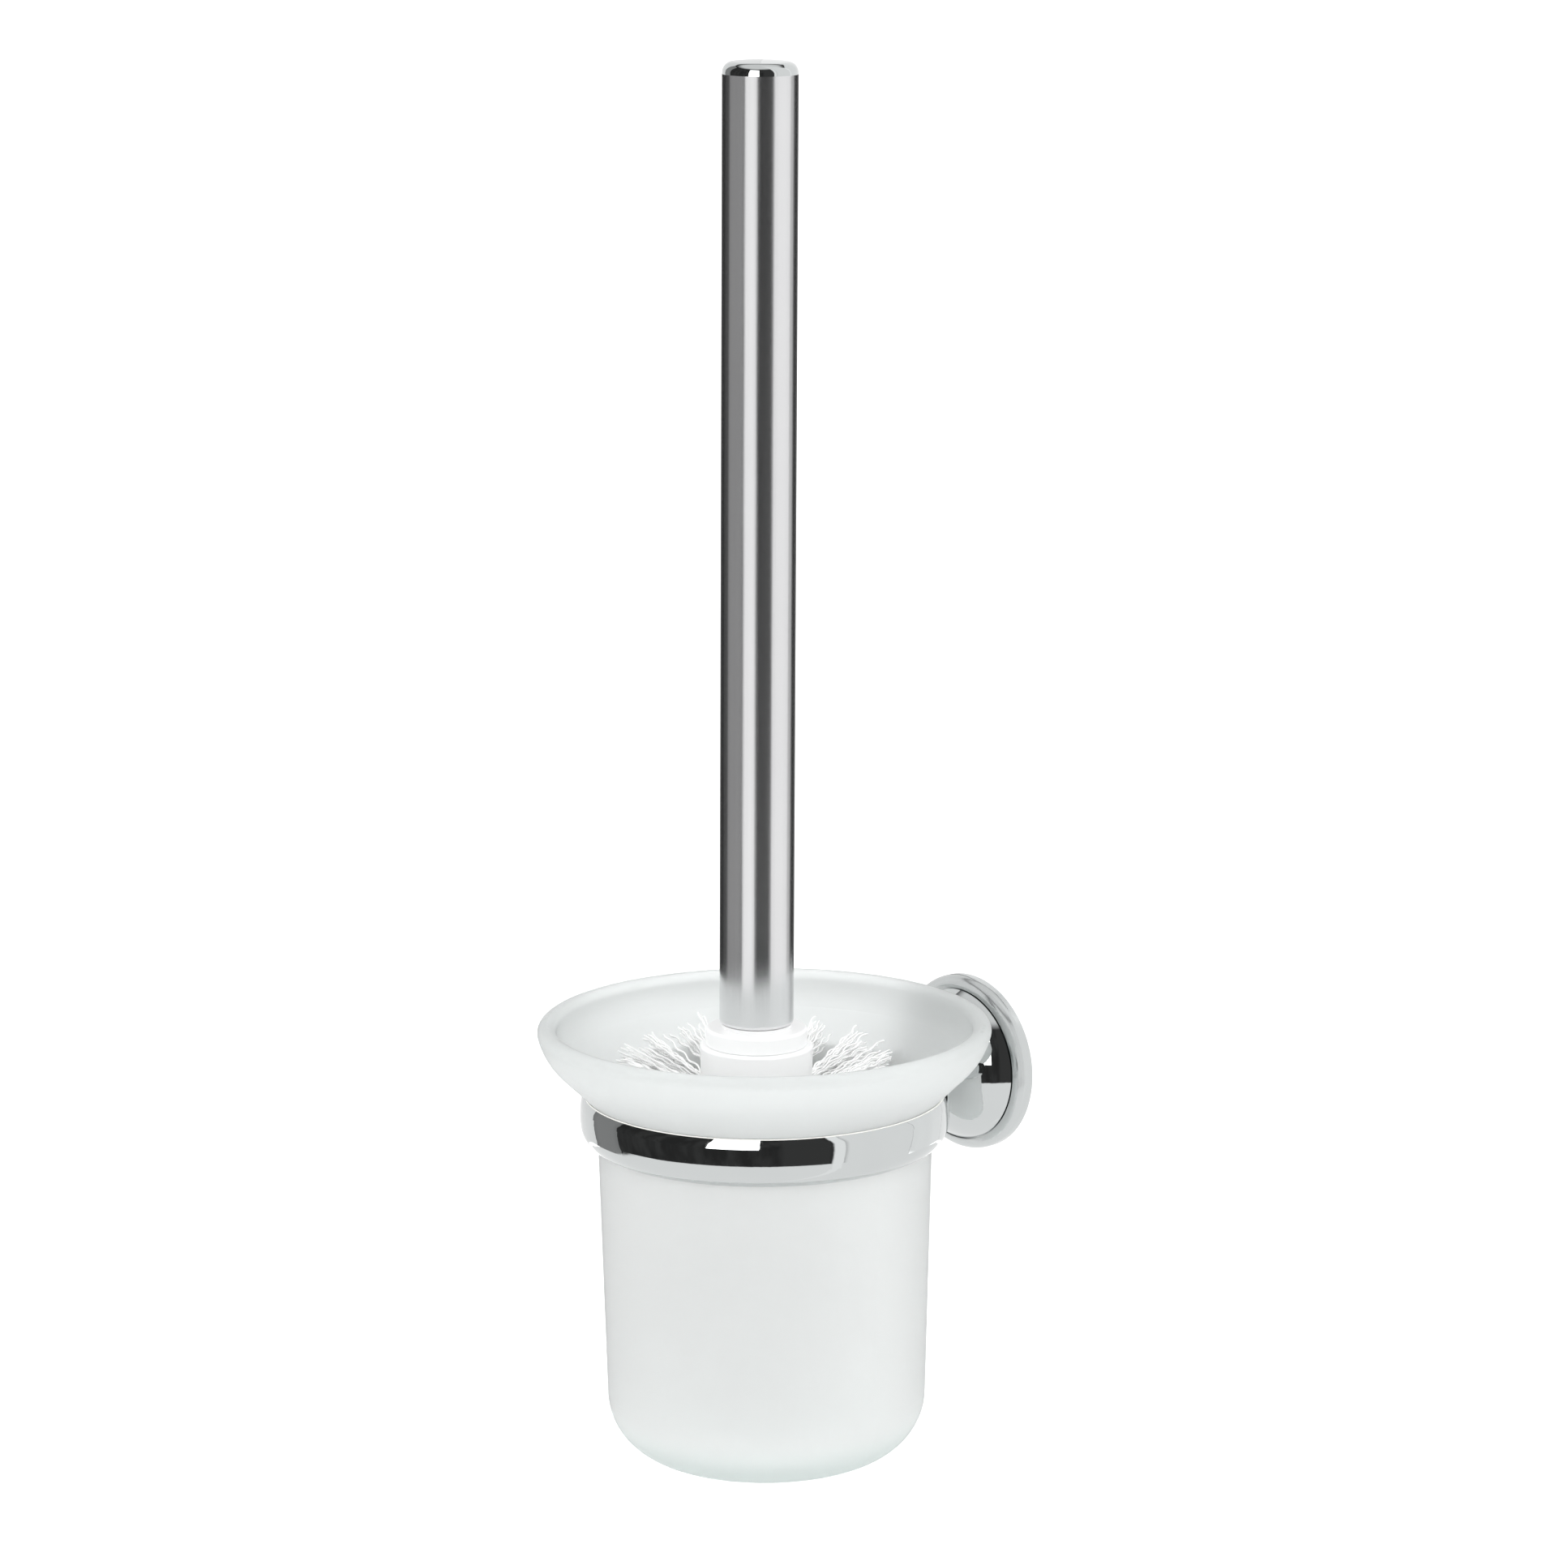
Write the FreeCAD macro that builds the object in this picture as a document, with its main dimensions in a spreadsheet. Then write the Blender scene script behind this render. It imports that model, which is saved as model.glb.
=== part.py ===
import FreeCAD, Part
import math
import os
import re

import Sketcher
from FreeCAD import Placement, Rotation, Vector

# Wall-mounted toilet brush set: a frosted glass cup hangs in a chrome ring on a short arm, and a
# brush with a chrome tube handle stands in the cup.
#
# Frame: origin at the centre of the rosette's back face, on the wall.  The wall is the plane Y = 0,
# the holder stands out towards -Y, and +Z is up.  The arm and the middle of the ring are at Z = 0.
# Millimetres and degrees.

DIMENSIONS = [
    # name, value, what it is
    ("wall_offset", 85.5, "wall to the ring's axis"),
    # ring
    ("ring_bore", 50.9, "ring inner radius"),
    ("ring_edge", 54.7, "ring radius where the crown meets the corner rounds"),
    ("ring_half_height", 8.6, "half of the ring's height"),
    ("ring_crown_half", 3.4, "half height of the crown"),
    ("ring_crown_round", 29.0, "radius of the crown"),
    ("ring_corner_round", 6.55, "radius of the corner rounds"),
    ("ring_crest", 53.75, "radius of the ring's top edge, outside the seat"),
    ("ring_crest_height", 6.05, "height of the ring's top edge"),
    ("seat_slope", 0.97, "rise per millimetre of the conical seat"),
    ("liner_wall", 0.65, "liner sleeve thickness"),
    ("liner_lip", 0.4, "liner lip thickness"),
    # glass cup
    ("cup_depth", 105.0, "ring centre to the cup's underside"),
    ("cup_top_radius", 49.65, "outer radius inside the ring"),
    ("cup_foot_radius", 47.6, "outer radius above the bottom corner"),
    ("cup_corner", 19.0, "outer radius of the bottom corner"),
    ("cup_wall", 4.0, "glass wall thickness"),
    ("cup_floor", 8.0, "glass floor thickness"),
    ("cup_inner_corner", 14.0, "inner radius of the bottom corner"),
    ("cup_taper_top", -10.0, "height where the cup's taper ends"),
    ("foot_recess", 0.9, "depth of the recess under the cup"),
    ("foot_recess_radius", 18.0, "radius of the recess's flat"),
    ("foot_ring_radius", 21.0, "inner radius of the ring the cup stands on"),
    ("neck_round", 10.0, "inner radius of the bend between cup and dish"),
    ("neck_round_radius", 48.69, "inner radius where the bend meets the dish"),
    ("neck_round_height", 0.6, "height where the bend meets the cup's inside"),
    ("dish_inner_round", 10.85, "radius of the dish's inner curve"),
    ("cone_end", 61.5, "radius where the dish's cone ends"),
    ("cone_end_height", 14.35, "height where the dish's cone ends"),
    ("dish_round", 20.7, "radius of the dish's outer curve"),
    ("lip_start", 67.2, "radius where the lip starts"),
    ("lip_start_height", 24.3, "height where the lip starts"),
    ("lip_round", 2.8, "radius of the rounded lip"),
    ("lip_centre", 64.48, "radius of the lip's centre circle"),
    ("lip_centre_height", 24.96, "height of the lip's centre circle"),
    # rosette
    ("rosette_radius", 27.1, "outer radius of the rosette"),
    ("rosette_depth", 5.2, "depth of the rosette's rim"),
    ("groove_radius", 23.7, "radius of the groove's outer side"),
    ("groove_gap", 0.4, "width of the groove"),
    ("dome_seat", 3.8, "distance of the dome's edge from the wall"),
    ("dome_edge_top", 5.4, "distance from the wall where the dome's flank starts"),
    ("dome_edge_slope", 62.0, "slope of the flank at the dome's edge"),
    ("dome_slope", 41.0, "slope where the flank meets the crown"),
    ("dome_flank_round", 18.9, "radius of the dome's flank"),
    ("dome_crown_round", 29.0, "radius of the dome's crown"),
    ("dome_wall", 1.2, "thickness of the dome"),
    ("plate_radius", 20.0, "wall plate radius"),
    ("plate_depth", 4.0, "wall plate thickness"),
    ("boss_radius", 8.0, "boss radius"),
    ("boss_end", 8.0, "boss length from the wall"),
    ("wall_screw_spacing", 26.0, "distance between the wall screw holes"),
    ("wall_screw_hole", 4.8, "wall screw hole diameter"),
    ("wall_screw_sink", 2.2, "depth of the wall screw holes' countersink"),
    # arm and fasteners
    ("arm_radius", 6.5, "arm radius"),
    ("arm_foot_radius", 7.0, "radius of the arm's flare at the ring"),
    ("arm_foot_gap", 54.25, "distance of the flare's face from the ring's axis"),
    ("arm_flare_round", 6.5, "radius of the flare's hollow curve"),
    ("arm_flare_length", 2.4, "length of the flare's hollow curve"),
    ("arm_foot_length", 1.2, "length of the flare's straight end"),
    ("arm_stub_radius", 5.2, "radius of the stub that meets the ring"),
    ("arm_screw_radius", 2.5, "shank radius of the arm screw"),
    ("arm_screw_depth", 12.0, "length of the arm screw in the arm"),
    ("arm_screw_sink", 0.3, "distance of the arm screw's head from the wall"),
    ("arm_screw_socket", 1.5, "radius of the arm screw's socket"),
    ("ring_screw_radius", 1.75, "shank radius of the ring screw"),
    ("ring_screw_head", 2.9, "head radius of the ring screw"),
    ("ring_screw_socket", 1.2, "radius of the ring screw's socket"),
    ("grub_radius", 1.5, "grub screw radius"),
    ("grub_height", 1.95, "distance of the grub screw's axis from the wall"),
    ("grub_recess", 0.4, "distance of the grub screw's end inside the rim"),
    ("grub_socket_corner", 0.75, "corner radius of the grub screw's hexagon socket"),
    ("grub_socket_depth", 2.0, "depth of the grub screw's hexagon socket"),
    # brush
    ("brush_lean", 0.563, "lean of the brush from upright"),
    ("brush_heading", 47.5, "direction of the lean, from +X"),
    ("brush_shift", 2.58, "distance of the brush's axis from the cup's axis at Z = 0"),
    ("core_radius", 11.0, "brush core radius"),
    ("core_bottom", -80.0, "brush core lower end"),
    ("core_round", 6.0, "round at the core's lower end"),
    ("collar_bottom", 8.0, "lower collar underside"),
    ("collar_step", 20.75, "joint of the two collars"),
    ("collar_top", 26.0, "upper collar top"),
    ("lower_collar_radius", 16.8, "lower collar radius at its top"),
    ("lower_collar_foot", 16.4, "lower collar radius at its underside"),
    ("upper_collar_radius", 15.05, "upper collar radius"),
    ("collar_round", 0.8, "round on the collars' top edges"),
    ("insert_radius", 6.5, "threaded insert radius"),
    ("insert_bottom", 4.0, "threaded insert lower end"),
    ("stud_radius", 4.0, "stud radius"),
    ("stud_bottom", 6.0, "stud lower end"),
    ("stud_chamfer", 0.8, "chamfer at the stud's lower end"),
    ("thread_clearance", 0.05, "radial clearance of the stud in its insert"),
    ("washer_radius", 10.3, "seal washer radius"),
    ("tube_bottom", 27.1, "handle tube lower end"),
    ("tube_top", 306.4, "handle tube upper end"),
    ("tube_radius", 11.0, "handle tube radius"),
    ("tube_wall", 0.8, "handle tube wall"),
    ("tube_end_round", 1.4, "round at the tube's lower end"),
    ("tube_end_lip", 2.6, "width of the tube's rolled lower end"),
    ("cap_height", 4.1, "cap height above the tube"),
    ("cap_round", 3.2, "round at the cap's edge"),
    ("cap_crown", 0.45, "rise of the cap's crown inside the round"),
    ("plug_length", 12.0, "length of the plugs in the tube"),
    # bristles
    ("tuft_root", 7.5, "distance of a tuft's root from the brush's axis"),
    ("end_tuft_root", 4.0, "the same distance for the tufts under the end"),
    ("tuft_hole_radius", 1.3, "tuft radius at its root"),
    ("tuft_hole_depth", 7.0, "depth of a tuft hole from its floor, past the core's surface"),
    ("tuft_tip_radius", 2.5, "tuft radius near its tips"),
    ("tuft_point", 1.2, "length of a tuft's pointed end"),
    ("tufts_per_row", 13.0, "tufts in a row"),
    ("end_tufts", 8.0, "tufts in the row under the end"),
]

# Bristle rows from the end of the brush to the collar: height of the roots, upward tilt of the
# tufts and length of the tufts from the root.
BRISTLE_ROWS = [
    ("bristle_row_1", -74.0, -14.0, 29.0),
    ("bristle_row_2", -63.0, -2.0, 31.0),
    ("bristle_row_3", -52.0, 4.0, 31.0),
    ("bristle_row_4", -41.0, 6.0, 29.5),
    ("bristle_row_5", -30.0, 8.0, 28.0),
    ("bristle_row_6", -19.0, 11.0, 28.0),
    ("bristle_row_7", -8.0, 15.0, 29.5),
    ("bristle_row_top", 1.5, 24.0, 37.5),
]
END_ROW = ("bristle_end_row", -76.5, -52.0, 22.5)

doc = FreeCAD.newDocument("ToiletBrushHolder")
sheet = doc.addObject("Spreadsheet::Sheet", "Dims")


# ---------------------------------------------------------------- driving dimensions

def fill_sheet():
    """Writes every driving dimension as a plain number with an alias."""
    rows = list(DIMENSIONS)
    for name, height, tilt, length in BRISTLE_ROWS + [END_ROW]:
        rows.append((name + "_height", height, "height of the row's roots"))
        rows.append((name + "_tilt", tilt, "upward tilt of the tufts"))
        rows.append((name + "_length", length, "length of the tufts"))
    for number, (name, value, meaning) in enumerate(rows, start=1):
        sheet.set("A%d" % number, name)
        sheet.set("B%d" % number, str(value))
        sheet.set("C%d" % number, meaning)
        sheet.setAlias("B%d" % number, name)
    doc.recompute()
    return {row[0] for row in rows}


ALIASES = fill_sheet()


def formula(text):
    """Turns dimension names in a formula into references to the sheet."""
    def reference(match):
        word = match.group(0)
        return "Dims." + word if word in ALIASES else word
    return re.sub(r"[a-z][a-z_0-9]*", reference, str(text))


def value(text):
    """The number that a formula of dimension names gives now."""
    return float(sheet.evalExpression(formula(text)))


# ---------------------------------------------------------------- sketches and features

def line_to(x, y):
    return {"x": x, "y": y, "radius": None}


def arc_to(x, y, radius, turn):
    """An arc to (x, y).  turn is +1 where the path turns left along it, -1 where it turns right."""
    return {"x": x, "y": y, "radius": radius, "turn": turn}


def arc_between(start, end, radius, turn):
    """The circular arc from start to end, and whether it runs against the sketcher's direction."""
    chord = end - start
    half = chord.Length / 2
    rise = math.sqrt(max(radius * radius - half * half, 0.0))
    left = Vector(-chord.y, chord.x, 0).normalize()
    centre = (start + end) * 0.5 + left * (rise * turn)
    first, last = (start, end) if turn > 0 else (end, start)
    angles = [math.atan2(p.y - centre.y, p.x - centre.x) for p in (first, last)]
    circle = Part.Circle(centre, Vector(0, 0, 1), radius)
    return Part.ArcOfCircle(circle, angles[0], angles[1]), turn < 0


def pin_point(sketch, edge, end, x, y, name):
    """Holds one end of an edge at (x, y) with constraints bound to the sheet."""
    for axis, kind, text in (("x", "DistanceX", x), ("y", "DistanceY", y)):
        if text == 0:
            line = -2 if axis == "x" else -1
            sketch.addConstraint(Sketcher.Constraint("PointOnObject", edge, end, line))
            continue
        index = sketch.addConstraint(Sketcher.Constraint(kind, -1, 1, edge, end, value(text)))
        sketch.renameConstraint(index, name + "_" + axis)
        sketch.setExpression("Constraints." + name + "_" + axis, formula(text))


def draw_outline(sketch, outline):
    """Draws a closed outline of lines and arcs, fully constrained to the sheet."""
    points = [Vector(value(step["x"]), value(step["y"]), 0) for step in outline]
    ends = []
    for number, step in enumerate(outline):
        start, end = points[number - 1], points[number]
        if step["radius"] is None:
            edge = sketch.addGeometry(Part.LineSegment(start, end), False)
            ends.append((edge, 1, 2))
            continue
        arc, reverse = arc_between(start, end, value(step["radius"]), step["turn"])
        edge = sketch.addGeometry(arc, False)
        ends.append((edge, 2, 1) if reverse else (edge, 1, 2))
        index = sketch.addConstraint(Sketcher.Constraint("Radius", edge, value(step["radius"])))
        sketch.renameConstraint(index, "radius_%d" % number)
        sketch.setExpression("Constraints.radius_%d" % number, formula(step["radius"]))
    for number, step in enumerate(outline):
        edge, _, end = ends[number]
        following, start, _ = ends[(number + 1) % len(ends)]
        sketch.addConstraint(Sketcher.Constraint("Coincident", edge, end, following, start))
        pin_point(sketch, edge, end, step["x"], step["y"], "point_%d" % number)


def origin_feature(body, role):
    return next(item for item in body.Origin.OriginFeatures if item.Role == role)


def new_body(label):
    body = doc.addObject("PartDesign::Body", label)
    body.Label = label
    return body


def new_sketch(body, name, plane="XZ_Plane", offset=None):
    """A sketch on one of the body's origin planes.  offset is (x, y, turn) within that plane."""
    sketch = body.newObject("Sketcher::SketchObject", body.Name + "_" + name)
    sketch.AttachmentSupport = [(origin_feature(body, plane), "")]
    sketch.MapMode = "FlatFace"
    if offset:
        x, y, turn = offset
        turned = Rotation(Vector(0, 0, 1), value(turn))
        sketch.AttachmentOffset = Placement(Vector(value(x), value(y), 0), turned)
        sketch.setExpression("AttachmentOffset.Base.x", formula(x))
        sketch.setExpression("AttachmentOffset.Base.y", formula(y))
        sketch.setExpression("AttachmentOffset.Rotation.Angle", formula(turn))
    return sketch


def revolve(body, outline, name="section", offset=None):
    """Adds a solid turned about the sketch's upright axis."""
    sketch = new_sketch(body, name, offset=offset)
    draw_outline(sketch, outline)
    feature = body.newObject("PartDesign::Revolution", body.Name + "_" + name + "_turned")
    feature.Profile = (sketch, [""])
    feature.ReferenceAxis = (sketch, ["V_Axis"])
    feature.Angle = 360
    return feature


def groove(body, outline, name, plane="XZ_Plane", axis="V_Axis", offset=None):
    """Cuts away a shape turned about an axis of its sketch, and checks that it does cut."""
    doc.recompute()
    before = body.Shape.Volume
    sketch = new_sketch(body, name, plane, offset)
    draw_outline(sketch, outline)
    feature = body.newObject("PartDesign::Groove", body.Name + "_" + name + "_cut")
    feature.Profile = (sketch, [""])
    feature.ReferenceAxis = (sketch, [axis])
    feature.Angle = 360
    doc.recompute()
    if body.Shape.Volume >= before:
        raise RuntimeError(body.Label + ": " + name + " cuts nothing")
    return feature


def repeat_around(body, feature, count):
    """Repeats a feature evenly about the body's upright axis."""
    pattern = body.newObject("PartDesign::PolarPattern", feature.Name + "_ring")
    pattern.Originals = [feature]
    pattern.Axis = (origin_feature(body, "Z_Axis"), [""])
    pattern.Angle = 360
    pattern.Occurrences = int(value(count))
    pattern.setExpression("Occurrences", formula(count))
    body.Tip = pattern
    doc.recompute()
    return pattern


def circle_sketch(body, name, plane, x, y, radius):
    """A sketch of one circle, placed and sized from the sheet."""
    sketch = new_sketch(body, name, plane)
    centre = Vector(value(x), value(y), 0)
    edge = sketch.addGeometry(Part.Circle(centre, Vector(0, 0, 1), value(radius)), False)
    index = sketch.addConstraint(Sketcher.Constraint("Radius", edge, value(radius)))
    sketch.renameConstraint(index, "radius")
    sketch.setExpression("Constraints.radius", formula(radius))
    pin_point(sketch, edge, 3, x, y, "centre")
    return sketch


def pad(body, sketch, length):
    feature = body.newObject("PartDesign::Pad", sketch.Name + "_pad")
    feature.Profile = (sketch, [""])
    feature.Length = value(length)
    feature.setExpression("Length", formula(length))
    return feature


# ---------------------------------------------------------------- placements

def place_on_wall(item):
    """Turns a part whose own axis is +Z so that it stands out from the wall."""
    item.Placement = Placement(Vector(0, 0, 0), Rotation(Vector(1, 0, 0), 90))


def place_on_ring(item):
    """Puts a part on the ring's axis."""
    item.Placement = Placement(Vector(0, -value("wall_offset"), 0), Rotation())
    item.setExpression("Placement.Base.y", formula("-wall_offset"))


def place_on_brush(item):
    """Puts a part on the brush's leaning axis."""
    heading = math.radians(value("brush_heading"))
    across = Vector(-math.sin(heading), math.cos(heading), 0)
    item.Placement = Placement(Vector(0, 0, 0), Rotation(across, value("brush_lean")))
    item.setExpression("Placement.Base.x", formula("-brush_shift * cos(brush_heading)"))
    item.setExpression("Placement.Base.y", formula("-wall_offset - brush_shift * sin(brush_heading)"))


# ---------------------------------------------------------------- holder: wall side

def make_wall_plate():
    """Round plate with two countersunk wall screw holes and a boss for the arm."""
    body = new_body("wall_plate")
    pad(body, circle_sketch(body, "disc", "XZ_Plane", 0, 0, "plate_radius"), "plate_depth")
    pad(body, circle_sketch(body, "boss", "XZ_Plane", 0, 0, "boss_radius"), "boss_end")
    wall_screw_hole = [
        line_to(0, "-1"),
        line_to("wall_screw_hole / 2", "-1"),
        line_to("wall_screw_hole / 2", "plate_depth + 0.2 - wall_screw_sink"),
        line_to("wall_screw_hole / 2 + wall_screw_sink", "plate_depth + 0.2"),
        line_to(0, "plate_depth + 0.2"),
    ]
    half = "wall_screw_spacing / 2"
    groove(body, wall_screw_hole, "upper_hole", "YZ_Plane", offset=("0", half, "90"))
    groove(body, wall_screw_hole, "lower_hole", "YZ_Plane", offset=("0", "-" + half, "90"))
    groove(body, [
        line_to(0, "-1"),
        line_to("2 * arm_screw_radius + 0.1", "-1"),
        line_to("2 * arm_screw_radius + 0.1", "arm_screw_sink"),
        line_to("arm_screw_radius + 0.1", "arm_screw_radius + arm_screw_sink"),
        line_to("arm_screw_radius + 0.1", "boss_end + 1"),
        line_to(0, "boss_end + 1"),
    ], "arm_hole", "YZ_Plane", offset=("0", "0", "90"))


def make_rosette_rim():
    """Outer chrome ring of the rosette, with the grub screw's hole underneath."""
    body = new_body("rosette_rim")
    rim_round = "rosette_radius - groove_radius"
    revolve(body, [
        line_to("plate_radius + 0.2", "dome_seat"),
        line_to("plate_radius + 0.2", "0"),
        line_to("rosette_radius", "0"),
        line_to("rosette_radius", "rosette_depth - (" + rim_round + ")"),
        arc_to("groove_radius", "rosette_depth", rim_round, 1),
        line_to("groove_radius", "dome_seat"),
    ])
    groove(body, [
        line_to(0, "plate_radius"),
        line_to("grub_radius + 0.05", "plate_radius"),
        line_to("grub_radius + 0.05", "rosette_radius + 1"),
        line_to(0, "rosette_radius + 1"),
    ], "grub_hole", "YZ_Plane", offset=("0", "grub_height", "90"))
    place_on_wall(body)


def dome_side(depth):
    """The dome's side from the arm's hole to the edge, at a depth below its outer face.

    The crown and the flank are arcs that meet without a corner.
    """
    edge = "groove_radius - groove_gap"
    flank = "(dome_flank_round - %s)" % depth
    crown = "(dome_crown_round - %s)" % depth
    flank_centre_x = edge + " - dome_flank_round * sin(dome_edge_slope)"
    flank_centre_y = "dome_edge_top - dome_flank_round * cos(dome_edge_slope)"
    span = "(dome_crown_round - dome_flank_round)"
    crown_centre_y = flank_centre_y + " - " + span + " * cos(dome_slope)"
    hole = "(arm_radius + 0.05)"
    return {
        "edge": (flank_centre_x + " + " + flank + " * sin(dome_edge_slope)",
                 flank_centre_y + " + " + flank + " * cos(dome_edge_slope)"),
        "shoulder": (flank_centre_x + " + " + flank + " * sin(dome_slope)",
                     flank_centre_y + " + " + flank + " * cos(dome_slope)"),
        "hole": (hole, crown_centre_y + " + sqrt(" + crown + "^2 - " + hole + "^2)"),
        "flank": flank,
        "crown": crown,
    }


def make_rosette_dome():
    """Deep convex chrome cover that sits inside the rim and closes on the arm."""
    body = new_body("rosette_dome")
    outer, inner = dome_side("0"), dome_side("dome_wall")
    revolve(body, [
        line_to(inner["edge"][0], "dome_seat"),
        line_to("groove_radius - groove_gap", "dome_seat"),
        line_to(*outer["edge"]),
        arc_to(*outer["shoulder"], outer["flank"], 1),
        arc_to(*outer["hole"], outer["crown"], 1),
        line_to(*inner["hole"]),
        arc_to(*inner["shoulder"], inner["crown"], -1),
        arc_to(*inner["edge"], inner["flank"], -1),
    ])
    place_on_wall(body)


def make_grub_screw():
    """Headless screw that locks the rim on the wall plate, with its hexagon socket."""
    body = new_body("grub_screw")
    revolve(body, [
        line_to(0, "plate_radius"),
        line_to("grub_radius", "plate_radius"),
        line_to("grub_radius", "rosette_radius - grub_recess"),
        line_to(0, "rosette_radius - grub_recess"),
    ])
    hexagon_socket(body, "rosette_radius - grub_recess", "grub_socket_corner", "grub_socket_depth")
    downward = Rotation(Vector(1, 0, 0), 180)
    body.Placement = Placement(Vector(0, -value("grub_height"), 0), downward)
    body.setExpression("Placement.Base.y", formula("-grub_height"))


def hexagon_socket(body, height, corner, depth):
    """Pockets a hexagon, down from a height on the body's own axis."""
    doc.recompute()
    before = body.Shape.Volume
    sketch = new_sketch(body, "socket", "XY_Plane")
    sketch.AttachmentOffset = Placement(Vector(0, 0, value(height)), Rotation())
    sketch.setExpression("AttachmentOffset.Base.z", formula(height))
    half, rise = corner + " / 2", corner + " * sqrt(3) / 2"
    draw_outline(sketch, [
        line_to(corner, 0),
        line_to(half, rise),
        line_to("-" + half, rise),
        line_to("-" + corner, 0),
        line_to("-" + half, "-" + rise),
        line_to(half, "-" + rise),
    ])
    feature = body.newObject("PartDesign::Pocket", body.Name + "_socket_cut")
    feature.Profile = (sketch, [""])
    feature.Length = value(depth)
    feature.setExpression("Length", formula(depth))
    doc.recompute()
    if body.Shape.Volume >= before:
        raise RuntimeError(body.Label + ": the socket cuts nothing")


def make_arm_screw():
    """Countersunk screw from behind the wall plate into the arm."""
    body = new_body("arm_screw")
    revolve(body, [
        line_to(0, "arm_screw_sink"),
        line_to("2 * arm_screw_radius", "arm_screw_sink"),
        line_to("arm_screw_radius", "arm_screw_radius + arm_screw_sink"),
        line_to("arm_screw_radius", "boss_end + arm_screw_depth"),
        line_to(0, "boss_end + arm_screw_depth"),
    ])
    groove(body, [
        line_to(0, "0"),
        line_to("arm_screw_socket", "0"),
        line_to("arm_screw_socket", "1.8"),
        line_to(0, "2.2"),
    ], "socket")
    place_on_wall(body)


# ---------------------------------------------------------------- holder: arm and ring

def ring_screw_outline(growth):
    """Half outline of the countersunk ring screw, grown by a clearance, from the ring's axis."""
    head = "ring_screw_head + %g" % growth
    shank = "ring_screw_radius + %g" % growth
    return [
        line_to(0, "ring_bore + 0.2 - %g" % growth),
        line_to(head, "ring_bore + 0.2 - %g" % growth),
        line_to(head, "ring_bore + 0.4"),
        line_to(shank, "ring_bore + ring_screw_head - ring_screw_radius + 0.4"),
        line_to(shank, "wall_offset - boss_end - arm_screw_depth - 2"),
        line_to(0, "wall_offset - boss_end - arm_screw_depth - 2"),
    ]


def make_holder_ring():
    """Chrome ring with a crowned outside, a conical seat at the top and a screw hole at the back."""
    body = new_body("holder_ring")
    seat_bottom = "ring_crest_height - (ring_crest - ring_bore) * seat_slope"
    revolve(body, [
        line_to("ring_bore", "-ring_half_height"),
        arc_to("ring_edge", "-ring_crown_half", "ring_corner_round", 1),
        arc_to("ring_edge", "ring_crown_half", "ring_crown_round", 1),
        arc_to("ring_crest", "ring_crest_height", "ring_corner_round", 1),
        line_to("ring_bore", seat_bottom),
    ])
    groove(body, ring_screw_outline(0.2), "screw_hole", "YZ_Plane", offset=("0", "0", "-90"))
    place_on_ring(body)
    return body


def make_ring_screw():
    """Countersunk screw from inside the ring into the arm."""
    body = new_body("ring_screw")
    revolve(body, ring_screw_outline(0))
    groove(body, [
        line_to(0, "ring_bore"),
        line_to("ring_screw_socket", "ring_bore"),
        line_to("ring_screw_socket", "ring_bore + 1.7"),
        line_to(0, "ring_bore + 2"),
    ], "socket")
    body.Placement = Placement(Vector(0, -value("wall_offset"), 0), Rotation(Vector(1, 0, 0), -90))
    body.setExpression("Placement.Base.y", formula("-wall_offset"))


def make_arm(ring):
    """Round arm that flares onto the ring, cut to the ring's crowned outside."""
    body = new_body("arm_blank")
    foot = "wall_offset - arm_foot_gap"
    revolve(body, [
        line_to("arm_screw_radius", "boss_end"),
        line_to("arm_radius", "boss_end"),
        line_to("arm_radius", foot + " - arm_foot_length - arm_flare_length"),
        arc_to("arm_foot_radius", foot + " - arm_foot_length", "arm_flare_round", -1),
        line_to("arm_foot_radius", foot),
        line_to("arm_stub_radius", foot),
        line_to("arm_stub_radius", foot + " + 1"),
        line_to("ring_screw_head + 0.3", foot + " + 1"),
        line_to("ring_screw_head + 0.3", foot + " - 0.5"),
        line_to("ring_screw_radius", foot + " - 0.5"),
        line_to("ring_screw_radius", "boss_end + arm_screw_depth + 1"),
        line_to("arm_screw_radius", "boss_end + arm_screw_depth + 1"),
    ])
    place_on_wall(body)
    bore = doc.addObject("Part::Cylinder", "ring_bore_space")
    bore.Radius = value("ring_bore")
    bore.setExpression("Radius", formula("ring_bore"))
    bore.setExpression("Height", formula("4 * ring_half_height"))
    bore.setExpression("Placement.Base.y", formula("-wall_offset"))
    bore.setExpression("Placement.Base.z", formula("-2 * ring_half_height"))
    ring_space = doc.addObject("Part::Fuse", "ring_space")
    ring_space.Base = ring
    ring_space.Tool = bore
    arm = doc.addObject("Part::Cut", "arm")
    arm.Base = body
    arm.Tool = ring_space
    arm.Label = "arm"
    return arm


def make_ring_liner():
    """Clear plastic sleeve inside the ring, with the lip that the glass rests on."""
    body = new_body("ring_liner")
    angle = math.atan(value("seat_slope"))
    lip_x = "ring_crest - liner_lip * %.5f" % math.sin(angle)
    lip_y = "ring_crest_height + liner_lip * %.5f" % math.cos(angle)
    inner = "ring_bore - liner_wall"
    revolve(body, [
        line_to(inner, "-ring_half_height + 0.5"),
        line_to("ring_bore", "-ring_half_height + 0.5"),
        line_to("ring_bore", "ring_crest_height - (ring_crest - ring_bore) * seat_slope"),
        line_to("ring_crest", "ring_crest_height"),
        line_to(lip_x, lip_y),
        line_to(inner, lip_y + " - (" + lip_x + " - (" + inner + ")) * seat_slope"),
    ])
    place_on_ring(body)


# ---------------------------------------------------------------- glass cup

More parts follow.
